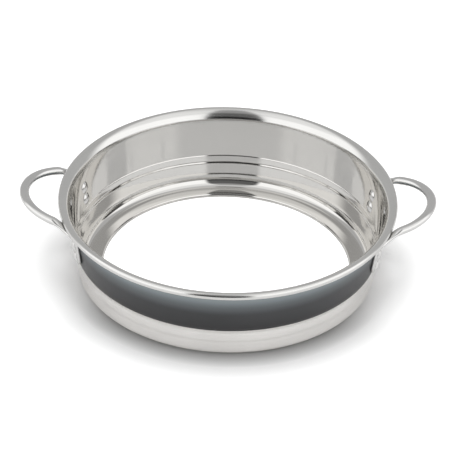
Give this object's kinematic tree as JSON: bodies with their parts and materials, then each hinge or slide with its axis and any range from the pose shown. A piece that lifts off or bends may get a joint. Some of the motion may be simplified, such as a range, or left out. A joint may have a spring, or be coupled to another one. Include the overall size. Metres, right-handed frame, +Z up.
{
  "type": "soup kettle ring",
  "caption": "Round, shallow stainless pot ring with a rolled flared rim, charcoal-coated tapered wall, open flanged bottom and two riveted rod loop handles.",
  "frame": {"origin": "on the table under the ring's axis, level with the flat face of the foot flange", "axes": "+Z up, +X through the middle of the right handle, -Y towards the front"},
  "size_m": [0.4168, 0.34, 0.0899],
  "materials": {
    "satin_steel": "satin spun stainless, polished over the rim and the lower wall",
    "charcoal_coating": "smooth satin charcoal coating",
    "polished_steel": "polished stainless"
  },
  "bodies": {
    "root": {"pot_shell": "satin_steel", "charcoal_band": "charcoal_coating", "handle_left": "polished_steel", "handle_right": "polished_steel", "rivet_left_front_upper": "polished_steel", "rivet_left_front_lower": "polished_steel", "rivet_left_rear_upper": "polished_steel", "rivet_left_rear_lower": "polished_steel", "rivet_right_front_upper": "polished_steel", "rivet_right_front_lower": "polished_steel", "rivet_right_rear_upper": "polished_steel", "rivet_right_rear_lower": "polished_steel"}
  },
  "joints": []
}
